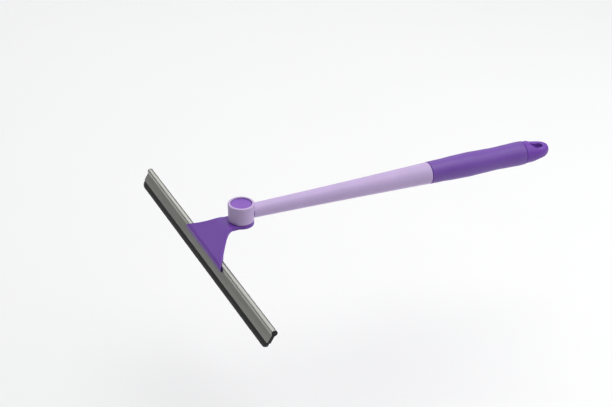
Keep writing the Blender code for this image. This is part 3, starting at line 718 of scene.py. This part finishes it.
def build_cap(colours):
    """Rear cap: spigot, flattened tail and the hanging eye."""
    cap = swept("tail_cap", tail_stations(), TUBE_FACES, ARM_AXIS_Z)
    combine(cap, "INTERSECT", tail_slab())
    loop = arc((EYE_CENTRE_X + EYE_HALF_LENGTH, 0), EYE_RADIUS, -pi / 2, pi / 2, steps=16)
    loop += arc((EYE_CENTRE_X - EYE_HALF_LENGTH, 0), EYE_RADIUS, pi / 2, 1.5 * pi, steps=16)
    eye = prism("eye", [(x, y, ARM_AXIS_Z - EYE_CUT) for x, y in loop], (0, 0, 2 * EYE_CUT))
    combine(cap, "DIFFERENCE", eye)
    soften(cap, CAP_EDGE, segments=3, angle=40)
    plastic = moulded_plastic("purple_plastic", colours.purple, roughness=0.42)
    finish_piece(cap, plastic, "handle", "purple_plastic", "end_cap")


# ---------------------------------------------------------------- button

BUTTON_RADIUS = 9.7 * MM
BUTTON_EDGE = 0.5 * MM
BUTTON_UNDER = 17.4 * MM       # height of the disc's underside
SKIRT_INSIDE = 8.5 * MM
DISH_RADIUS = 8.8 * MM
DISH_RINGS = (1.1, 2.2, 3.3, 4.4, 5.5, 6.6, 7.7, 8.3)  # radii in millimetres


def build_button(colours, sizes):
    """Dished push button with its skirt."""
    top = BUTTON_HIGH.z
    profile = [(0, top - sizes.dish)]
    profile += [(r * MM, top - sizes.dish * (1 - (r * MM / DISH_RADIUS) ** 2))
                for r in DISH_RINGS]
    profile += [(DISH_RADIUS, top),
                *arc((BUTTON_RADIUS - BUTTON_EDGE, top - BUTTON_EDGE), BUTTON_EDGE, pi / 2, 0,
                     steps=6),
                (BUTTON_RADIUS, BUTTON_LOW.z), (SKIRT_INSIDE, BUTTON_LOW.z),
                (SKIRT_INSIDE, BUTTON_UNDER), (0, BUTTON_UNDER)]
    button = turned("button_cap", profile, HUB_FACES)
    smooth(button, angle=40)
    plastic = moulded_plastic("button_plastic", colours.button, roughness=0.34, grain=0.8)
    finish_piece(button, plastic, "button", "button_plastic", "push_button")


# ---------------------------------------------------------------- head

def build_bracket(colours, sizes):
    """Fan bracket with its long edges rounded and its small ones broken."""
    bracket = copy_of_node("head_bracket", "fan_bracket")
    soften(bracket, sizes.bracket_edge, segments=3, angle=30)
    plastic = moulded_plastic("bracket_plastic", colours.purple, roughness=0.40)
    finish_piece(bracket, plastic, "head", "purple_plastic", "head_bracket")


CHANNEL_CORNER = 2.0 * MM
PLATE_REACH = 10.0 * MM        # a cutting plate reaches this far to both sides of the sheet


def channel_outline(crease):
    """Folded sheet: rounded crease, bead and hemmed edges."""
    half = CHANNEL_DEPTH / 2
    reach = BEAD_RADIUS + crease
    rise = asin((half + crease) / reach)
    centre = (-BEAD_UP, MIDDLE)
    bend = -BEAD_UP + reach * cos(rise)
    edge = SHEET / 2
    inner = BEAD_RADIUS - SHEET
    opening = asin((half - SHEET) / inner)
    return [(-edge, 0.0),
            *arc((bend, crease), crease, 1.5 * pi, pi + rise, steps=6),
            *arc(centre, BEAD_RADIUS, rise, 2 * pi - rise, steps=40),
            *arc((bend, -CHANNEL_DEPTH - crease), crease, pi - rise, pi / 2, steps=6),
            *arc((-edge, -CHANNEL_DEPTH + edge), edge, 1.5 * pi, 2.5 * pi, steps=6),
            *arc(centre, inner, 2 * pi - opening, opening, steps=32),
            *arc((-edge, -edge), edge, 1.5 * pi, 2.5 * pi, steps=6)]


def rounded_plate(low, high, length, radius):
    """A plate in the channel's plane whose four corners are round, as a cutter."""
    half = length / 2
    corners = (((half - radius, high - radius), 0), ((radius - half, high - radius), pi / 2),
               ((radius - half, low + radius), pi), ((half - radius, low + radius), 1.5 * pi))
    outline = []
    for centre, start in corners:
        outline += arc(centre, radius, start, start + pi / 2, steps=8)
    travel = section_point(0, 2 * PLATE_REACH) - section_point(0, 0)
    return prism("trim", [section_point(down, -PLATE_REACH, along) for along, down in outline],
                 travel)


def cross_rod(name, radius, low, high):
    """A rod along the blade in the middle of the channel's bead."""
    middle = section_point(-BEAD_UP, MIDDLE, (low + high) / 2)
    deselect()
    bpy.ops.mesh.primitive_cylinder_add(vertices=40, radius=radius, depth=high - low,
                                        location=middle, rotation=(pi / 2, 0, 0))
    obj = name_it(name)
    bpy.ops.object.transform_apply(location=True, rotation=True, scale=True)
    return obj


def build_channel(colours, sizes):
    """Folded channel with a bead and rounded corners."""
    length = CHANNEL_HIGH.y - CHANNEL_LOW.y - 2 * END_TRIM
    outline = [section_point(down, out, -length / 2) for down, out in
               channel_outline(sizes.crease)]
    channel = prism("channel_shell", outline, (0, length, 0))
    combine(channel, "INTERSECT",
            rounded_plate(-BEAD_UP - BEAD_RADIUS, 0.0, length, CHANNEL_CORNER))
    smooth(channel, angle=30)
    sheet = brushed_sheet("channel_metal", colours.metal)
    finish_piece(channel, sheet, "head", "channel_metal", "squeegee_channel")


RUBBER_WEB = 0.65 * MM         # half thickness between the channel's sheets
RUBBER_REACH = 5.6 * MM        # rubber below the channel's edge
RUBBER_CORNER = 5.4 * MM
RUBBER_TRIM_UP = 22.0 * MM     # the cutting plate's far edge, clear of the bead
# Half thickness of the wiping strip at distances below the channel's edge, in millimetres
RUBBER_STRIP = ((0.10, 0.65), (0.35, 1.05), (0.55, 1.15), (2.3, 1.10), (2.45, 0.95),
                (2.6, 0.95), (2.75, 1.25), (3.0, 1.28), (3.2, 1.05), (5.35, 0.72),
                (5.55, 0.62), (5.6, 0.45))
SEAT_RADIUS = 2.2 * MM         # room for the end plugs in the rubber's bead
SEAT_LENGTH = 8.5 * MM


def rubber_outline():
    """Bead, web and wiping strip with its middle ridge."""
    inner = BEAD_RADIUS - SHEET - GAP
    opening = asin(RUBBER_WEB / inner)
    bead = arc((-BEAD_UP, MIDDLE), inner, 2 * pi - opening, opening, steps=24)
    front = [(down * MM, MIDDLE + half * MM) for down, half in RUBBER_STRIP]
    rear = [(down * MM, MIDDLE - half * MM) for down, half in RUBBER_STRIP[::-1]]
    return bead + front + rear


def build_rubber(colours):
    """Wiping blade with rounded lip corners and room for the plugs."""
    low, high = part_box("rubber_blade")
    length = high.y - low.y - 2 * END_TRIM
    outline = [section_point(down, out, -length / 2) for down, out in rubber_outline()]
    blade = prism("blade_strip", outline, (0, length, 0))
    combine(blade, "INTERSECT",
            rounded_plate(-RUBBER_TRIM_UP, RUBBER_REACH, length, RUBBER_CORNER))
    seats = ((low.y - SPARE, low.y + SEAT_LENGTH), (high.y - SEAT_LENGTH, high.y + SPARE))
    for start, end in seats:
        combine(blade, "DIFFERENCE", cross_rod("seat", SEAT_RADIUS, start, end))
    smooth(blade, angle=30)
    rubber = black_rubber("blade_rubber", colours.rubber)
    finish_piece(blade, rubber, "head", "blade_rubber", "rubber_blade")


FLANGE_PLAY = 0.05 * MM        # between a plug's flange and the channel's end
PLUG_EDGE = 0.12 * MM


def end_outline():
    """The channel's outer section as one closed shape."""
    opening = asin(CHANNEL_DEPTH / 2 / BEAD_RADIUS)
    return [(0.0, 0.0),
            *arc((-BEAD_UP, MIDDLE), BEAD_RADIUS, opening, 2 * pi - opening, steps=32),
            (0.0, -CHANNEL_DEPTH)]


def build_plugs(colours):
    """End plugs: a round peg in the bead and a thin flange over the channel's end."""
    plastic = moulded_plastic("black_plastic", colours.plugs, roughness=0.45)
    for side, sign in (("left", -1), ("right", 1)):
        node = "end_plug_" + side
        low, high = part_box(node)
        plug = cross_rod("plug_" + side, (high.z - low.z) / 2, low.y, high.y)
        inner = sign * (CHANNEL_HIGH.y - END_TRIM + FLANGE_PLAY)
        outline = [section_point(down, out, inner) for down, out in end_outline()]
        flange = prism("flange", outline, (0, sign * (END_TRIM - 2 * FLANGE_PLAY), 0))
        combine(plug, "UNION", flange)
        combine(plug, "INTERSECT", rounded_plate(-BEAD_UP - BEAD_RADIUS - SPARE, 0.0,
                                                 2 * CHANNEL_HIGH.y, CHANNEL_CORNER))
        soften(plug, PLUG_EDGE, segments=2, angle=40)
        finish_piece(plug, plastic, "head", "black_plastic", node)


JAW_EDGE = 0.35 * MM
SCREW_FACES = 40
SCREW_TIP = 0.6 * MM           # radius of the screw's end
SCREW_NECK = 0.9 * MM          # radius behind it
SCREW_TIP_LENGTH = 0.7 * MM
THREAD_CREST = 1.1 * MM
THREAD_ROOT = 0.85 * MM
THREAD_PITCH = 0.7 * MM
THREAD_START = 1.0 * MM        # below the screw's end
THREAD_END = 1.2 * MM          # above the head
SHANK = 1.0 * MM
HEAD_RIM = 0.5 * MM            # straight side of the head
HEAD_ROUND = 1.3 * MM          # radius of its rounded part
RECESS = (2.8 * MM, 0.55 * MM, 1.5 * MM)  # length, width and height of the cutter
RECESS_UP = 0.2 * MM           # height of its middle above the head's outer face


def screw_profile(low, high, radius):
    """Profile of a pan-head screw that points up, with a ridge for each turn of thread."""
    seat = low + HEAD_RIM + HEAD_ROUND
    profile = [(0, high), (SCREW_TIP, high), (SCREW_NECK, high - SCREW_TIP_LENGTH)]
    height = high - THREAD_START
    while height > seat + THREAD_END:
        profile += [(THREAD_CREST, height), (THREAD_ROOT, height - THREAD_PITCH / 2)]
        height -= THREAD_PITCH
    return [*profile, (SHANK, height), (SHANK, seat), (radius, seat),
            *arc((radius - HEAD_ROUND, low + HEAD_ROUND), HEAD_ROUND, 0, -pi / 2, steps=8),
            (0, low)]


def recess_arm(centre, low, turn):
    """One arm of the cross recess in a screw's head, as a cutter."""
    deselect()
    bpy.ops.mesh.primitive_cube_add(size=1.0, location=(centre[0], centre[1], low + RECESS_UP))
    obj = name_it("cut")
    obj.scale = RECESS
    obj.rotation_euler = (0, 0, turn)
    bpy.ops.object.transform_apply(location=True, rotation=True, scale=True)
    return obj


def build_clamp(colours):
    """Rear jaw with rounded edges and its two pan-head screws."""
    plate = copy_of_node("clamp_plate", "rear_jaw")
    soften(plate, JAW_EDGE, segments=3, angle=30)
    plastic = moulded_plastic("jaw_plastic", colours.purple, roughness=0.42)
    finish_piece(plate, plastic, "head", "purple_plastic", "clamp_plate")
    steel = turned_steel("screw_steel", colours.steel, roughness=0.30)
    for side in ("left", "right"):
        node = "clamp_screw_" + side
        low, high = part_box(node)
        centre = ((low.x + high.x) / 2, (low.y + high.y) / 2, 0)
        profile = screw_profile(low.z, high.z, (high.x - low.x) / 2)
        screw = turned("jaw_screw_" + side, profile, SCREW_FACES, centre)
        for turn in (0, pi / 2):
            combine(screw, "DIFFERENCE", recess_arm(centre, low.z, turn))
        smooth(screw)
        finish_piece(screw, steel, "head", "screw_steel", node)


# ---------------------------------------------------------------- inner parts

WIRE_SHADE = 0.8               # the spring's wire is this much darker than the screws


def material_of(name):
    """The finish of a piece that stands already."""
    return bpy.data.objects[name].data.materials[0]


def finish_inner_parts(colours):
    """Finish the CAD nodes that stay as they are, and put a finished copy in place of the spring.
    """
    nylon = moulded_plastic("white_nylon", colours.nylon, roughness=0.45)
    wire = turned_steel("spring_steel", shade(colours.steel, WIRE_SHADE), roughness=0.30)
    plastic = material_of("plug_left")
    rubber = material_of("blade_strip")
    steel = material_of("jaw_screw_left")
    finishes = {"wear_washer": (nylon, "white_nylon"), "floor_washer": (nylon, "white_nylon"),
                "pivot_crown": (plastic, "black_plastic"), "brake_ring": (plastic, "black_plastic"),
                "brake_pad": (rubber, "blade_rubber"), "pivot_screw": (steel, "screw_steel"),
                "channel_pin": (steel, "screw_steel")}
    for node, (material, slot) in finishes.items():
        obj = frame["nodes"][node]
        if not obj.material_slots:
            obj.data.materials.append(material)
        for holder in obj.material_slots:
            holder.material = material
    spring = finish_piece(copy_of_node("button_spring", "return_spring"), wire, "handle",
                          "spring_steel", "button_spring")
    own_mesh(spring)


# ---------------------------------------------------------------- stage

FLOOR_DROP = 200.5 * MM        # below the lowest piece
FLOOR_SIZE = 12.0
TARGET = Vector((56.9 * MM, -17.45 * MM, 17.2 * MM))
# Name, width and height in metres, watts, azimuth and elevation in degrees, distance in metres
LIGHTS = (("top", 2.0, 2.0, 50.0, 60, 78, 2.4),
          ("back", 4.0, 1.1, 24.0, 183, 35, 2.4),
          ("side", 1.0, 1.0, 9.0, 66, 28, 2.0))
SURROUND_COLOUR = (0.9, 0.92, 0.95, 1.0)
SURROUND_STRENGTH = 0.14
CAMERA_AZIMUTH = -26.15
CAMERA_ELEVATION = 30.53
CAMERA_ROLL = 1.85
CAMERA_DISTANCE = 1.398
CAMERA_LENS = 89.95
CAMERA_SENSOR = 36.0
CAMERA_CLIP = 10.0 * MM


def direction(azimuth, elevation):
    """Unit vector away from the squeegee at these angles, in degrees."""
    turn, rise = radians(azimuth), radians(elevation)
    return Vector((sin(turn) * cos(rise), -cos(turn) * cos(rise), sin(rise)))


def aim(away):
    """Turn of a light or camera that stands in this direction and looks back."""
    return (-away).to_track_quat("-Z", "Y")


def add_floor(colours):
    """A large pale floor below the squeegee."""
    low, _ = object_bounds()
    deselect()
    bpy.ops.mesh.primitive_plane_add(size=FLOOR_SIZE, location=(0, 0, low.z - FLOOR_DROP))
    floor = name_it("floor")
    finish = Finish("floor_paint", roughness=0.8)
    mottle = finish.noise(6, 3, 0.5)
    finish.set("Base Color", finish.mix(mottle, shade(colours.floor, 0.99),
                                        shade(colours.floor, 1.01)))
    floor.data.materials.append(finish.material)
    floor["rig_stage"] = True


def add_light(name, width, height, energy, azimuth, elevation, distance):
    """A rectangular area light that looks at the squeegee."""
    deselect()
    away = direction(azimuth, elevation)
    bpy.ops.object.light_add(type="AREA", location=TARGET + away * distance)
    light = bpy.context.object
    light.name = name
    light.data.shape = "RECTANGLE"
    light.data.size = width
    light.data.size_y = height
    light.data.energy = energy
    light.rotation_mode = "QUATERNION"
    light.rotation_quaternion = aim(away)


def add_surround():
    """A dim grey surround for the reflections."""
    world = bpy.data.worlds.new("surround")
    bpy.context.scene.world = world
    world.use_nodes = True
    background = world.node_tree.nodes["Background"]
    background.inputs["Color"].default_value = SURROUND_COLOUR
    background.inputs["Strength"].default_value = SURROUND_STRENGTH


def add_camera():
    """A long-lens camera above and to the left of the handle, rolled a little."""
    away = direction(CAMERA_AZIMUTH, CAMERA_ELEVATION)
    deselect()
    bpy.ops.object.camera_add(location=TARGET + away * CAMERA_DISTANCE)
    camera = bpy.context.object
    camera.name = "camera"
    camera.rotation_mode = "QUATERNION"
    roll = Matrix.Rotation(radians(CAMERA_ROLL), 3, "Z").to_quaternion()
    camera.rotation_quaternion = aim(away) @ roll
    camera.data.lens = CAMERA_LENS
    camera.data.sensor_width = CAMERA_SENSOR
    camera.data.dof.use_dof = False
    camera.data.clip_start = CAMERA_CLIP
    bpy.context.scene.camera = camera
    bpy.context.scene.view_settings.view_transform = "Standard"


# ---------------------------------------------------------------- operators

class OBJECT_OT_squeegee_handle(bpy.types.Operator):
    """Model the arm with its hub, the soft sleeve and the rear cap"""

    bl_idname = "object.squeegee_handle"
    bl_label = "Squeegee Handle"

    def execute(self, context):
        colours, sizes = settings()
        build_handle(colours, sizes)
        build_grip(colours)
        build_cap(colours)
        return {"FINISHED"}


class OBJECT_OT_squeegee_button(bpy.types.Operator):
    """Model the push button"""

    bl_idname = "object.squeegee_button"
    bl_label = "Squeegee Button"

    def execute(self, context):
        build_button(*settings())
        return {"FINISHED"}


class OBJECT_OT_squeegee_bracket(bpy.types.Operator):
    """Model the fan bracket"""

    bl_idname = "object.squeegee_bracket"
    bl_label = "Squeegee Bracket"

    def execute(self, context):
        build_bracket(*settings())
        return {"FINISHED"}


class OBJECT_OT_squeegee_blade(bpy.types.Operator):
    """Model the channel, the rubber, the end plugs and the rear jaw with its screws"""

    bl_idname = "object.squeegee_blade"
    bl_label = "Squeegee Blade"

    def execute(self, context):
        colours, sizes = settings()
        build_channel(colours, sizes)
        build_rubber(colours)
        build_plugs(colours)
        build_clamp(colours)
        return {"FINISHED"}


class OBJECT_OT_squeegee_inner(bpy.types.Operator):
    """Finish the washers, crown, brake, pivot screw, pin and spring, after the blade"""

    bl_idname = "object.squeegee_inner"
    bl_label = "Squeegee Inner Parts"

    def execute(self, context):
        colours, _ = settings()
        finish_inner_parts(colours)
        return {"FINISHED"}


class OBJECT_OT_squeegee_stage(bpy.types.Operator):
    """Add the floor, the soft lights and the camera"""

    bl_idname = "object.squeegee_stage"
    bl_label = "Squeegee Stage"

    def execute(self, context):
        colours, _ = settings()
        add_floor(colours)
        for light in LIGHTS:
            add_light(*light)
        add_surround()
        add_camera()
        return {"FINISHED"}


class VIEW3D_PT_squeegee(bpy.types.Panel):
    """Sidebar panel that lists the squeegee's operators and settings"""

    bl_label = "Window Squeegee"
    bl_idname = "VIEW3D_PT_squeegee"
    bl_space_type = "VIEW_3D"
    bl_region_type = "UI"
    bl_category = "Squeegee"

    def draw(self, context):
        layout = self.layout
        for operator in OPERATORS:
            layout.operator(operator.bl_idname)
        for group in (context.scene.squeegee_colours, context.scene.squeegee_sizes):
            box = layout.box()
            for key in group.__annotations__:
                box.prop(group, key)


OPERATORS = (OBJECT_OT_squeegee_handle, OBJECT_OT_squeegee_button, OBJECT_OT_squeegee_bracket,
             OBJECT_OT_squeegee_blade, OBJECT_OT_squeegee_inner, OBJECT_OT_squeegee_stage)
CLASSES = (SqueegeeColours, SqueegeeSizes, *OPERATORS, VIEW3D_PT_squeegee)


def register():
    """Register the classes and the scene's settings."""
    for item in CLASSES:
        bpy.utils.register_class(item)
    bpy.types.Scene.squeegee_colours = bpy.props.PointerProperty(type=SqueegeeColours)
    bpy.types.Scene.squeegee_sizes = bpy.props.PointerProperty(type=SqueegeeSizes)


def unregister():
    """Remove the settings and the classes."""
    del bpy.types.Scene.squeegee_colours
    del bpy.types.Scene.squeegee_sizes
    for item in reversed(CLASSES):
        bpy.utils.unregister_class(item)


def main():
    """Build everything."""
    register()
    bpy.ops.object.squeegee_handle()
    bpy.ops.object.squeegee_button()
    bpy.ops.object.squeegee_bracket()
    bpy.ops.object.squeegee_blade()
    bpy.ops.object.squeegee_inner()
    bpy.ops.object.squeegee_stage()


if __name__ == "__main__":
    main()
